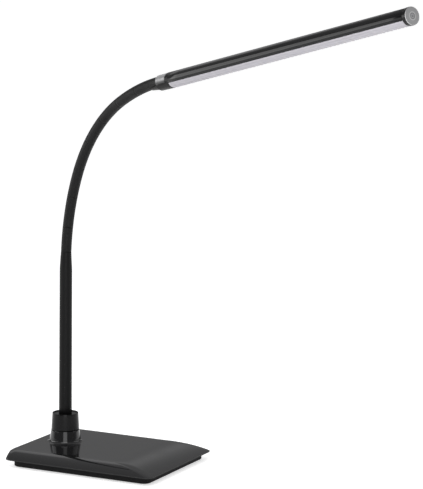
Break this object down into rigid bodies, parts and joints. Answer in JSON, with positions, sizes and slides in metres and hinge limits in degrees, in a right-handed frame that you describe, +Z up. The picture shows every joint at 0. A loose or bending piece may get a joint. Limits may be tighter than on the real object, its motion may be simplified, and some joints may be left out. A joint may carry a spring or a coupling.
{
  "type": "gooseneck desk lamp",
  "caption": "Desk lamp with a thin round light bar on a flexible gooseneck, a straight stem in a collar and a weighted pillow-shaped base; touch switch at the tip.",
  "frame": {"origin": "centre of the base pad's underside, on the table", "axes": "+Z up; +X along the base from the stem towards the free end, and the power inlet faces -X; +Y across the base. At rest the neck arches over the -Y side, turned 25.7 degrees from +X about the stem."},
  "size_m": [0.5065, 0.3045, 0.4999],
  "materials": {
    "base_cover": "gloss",
    "base_plate": "matte",
    "pad": "matte",
    "ballast": "matte",
    "screw_steel": "satin",
    "stem_steel": "satin",
    "collar": "gloss",
    "stem_skin": "satin",
    "neck_sleeve": "matte",
    "neck_core": "satin",
    "cable": "matte",
    "jack": "matte",
    "contact_brass": "polished",
    "ferrule": "satin",
    "plug": "gloss",
    "head_tube": "gloss",
    "diffuser": "satin",
    "board": "matte",
    "chip": "satin",
    "touch_cap": "satin",
    "tape": "matte",
    "dimmer_board": "satin",
    "dimmer_chip": "matte"
  },
  "bodies": {
    "base": {"base_pad": "pad", "base_plate": "base_plate", "base_cover": "base_cover", "ballast_plate": "ballast", "ballast_screws": "screw_steel", "cover_screws": "screw_steel", "spreader_plate": "stem_steel", "stem_washer": "screw_steel", "stem_nut_lower": "screw_steel", "stem_nut_upper": "screw_steel", "stem_tube": "stem_steel", "collar_cup": "collar", "stem_skin": "stem_skin", "stem_cable": "cable", "neck_core_foot": "neck_core", "dc_jack": "jack", "jack_pin": "contact_brass", "jack_leads": "cable"},
    "neck_1": {"neck_sleeve_1": "neck_sleeve", "neck_core_1": "neck_core", "neck_cable_1": "cable"},
    "neck_2": {"neck_sleeve_2": "neck_sleeve", "neck_core_2": "neck_core", "neck_cable_2": "cable"},
    "neck_3": {"neck_sleeve_3": "neck_sleeve", "neck_core_3": "neck_core", "neck_cable_3": "cable"},
    "neck_4": {"neck_sleeve_4": "neck_sleeve", "neck_core_4": "neck_core", "neck_cable_4": "cable"},
    "neck_5": {"neck_sleeve_5": "neck_sleeve", "neck_core_5": "neck_core", "neck_cable_5": "cable"},
    "neck_6": {"neck_sleeve_6": "neck_sleeve", "neck_core_6": "neck_core", "neck_cable_6": "cable"},
    "neck_7": {"neck_sleeve_7": "neck_sleeve", "neck_core_7": "neck_core", "neck_cable_7": "cable"},
    "head": {"neck_sleeve_end": "neck_sleeve", "neck_core_end": "neck_core", "neck_cable_end": "cable", "ferrule": "ferrule", "rear_plug": "plug", "grub_screw": "screw_steel", "head_tube": "head_tube", "diffuser": "diffuser", "light_board": "board", "light_chips": "chip", "end_ring": "plug", "touch_cap": "touch_cap", "touch_contact": "contact_brass", "dimmer_tape": "tape", "dimmer_board": "dimmer_board", "dimmer_chips": "dimmer_chip", "board_links": "contact_brass", "head_leads": "cable"}
  },
  "joints": [
    {"name": "lower_neck_bend", "type": "hinge", "parent": "base", "child": "neck_1", "pos_m": [-0.05168, -0.00052, 0.23216], "axis": [0.4337, 0.9011, 0], "range_deg": [-12, 7]},
    {"name": "lower_side_bend", "type": "hinge", "parent": "neck_1", "child": "neck_2", "pos_m": [-0.04644, -0.00304, 0.2658], "axis": [-0.8747, 0.421, 0.2402], "range_deg": [-20, 20]},
    {"name": "neck_bend_3", "type": "hinge", "parent": "neck_2", "child": "neck_3", "pos_m": [-0.03694, -0.00761, 0.29827], "axis": [0.4337, 0.9011, 0], "range_deg": [-12, 7]},
    {"name": "neck_bend_4", "type": "hinge", "parent": "neck_3", "child": "neck_4", "pos_m": [-0.02291, -0.01437, 0.32862], "axis": [0.4337, 0.9011, 0], "range_deg": [-12, 7]},
    {"name": "upper_neck_bend", "type": "hinge", "parent": "neck_4", "child": "neck_5", "pos_m": [-0.00377, -0.02358, 0.35532], "axis": [0.4337, 0.9011, 0], "range_deg": [-20, 12]},
    {"name": "upper_side_bend", "type": "hinge", "parent": "neck_5", "child": "neck_6", "pos_m": [0.01974, -0.03489, 0.37729], "axis": [-0.5091, 0.245, 0.8251], "range_deg": [-20, 20]},
    {"name": "neck_bend_7", "type": "hinge", "parent": "neck_6", "child": "neck_7", "pos_m": [0.04662, -0.04783, 0.39387], "axis": [0.4337, 0.9011, 0], "range_deg": [-20, 12]},
    {"name": "head_bend", "type": "hinge", "parent": "neck_7", "child": "head", "pos_m": [0.07536, -0.06166, 0.40604], "axis": [0.4337, 0.9011, 0], "range_deg": [-20, 12]}
  ],
  "couplings": [
    {"joint": "neck_bend_3", "follows": "lower_neck_bend", "ratio": 1},
    {"joint": "neck_bend_4", "follows": "lower_neck_bend", "ratio": 1},
    {"joint": "neck_bend_7", "follows": "upper_neck_bend", "ratio": 1},
    {"joint": "head_bend", "follows": "upper_neck_bend", "ratio": 1},
    {"joint": "upper_side_bend", "follows": "lower_side_bend", "ratio": 1}
  ]
}
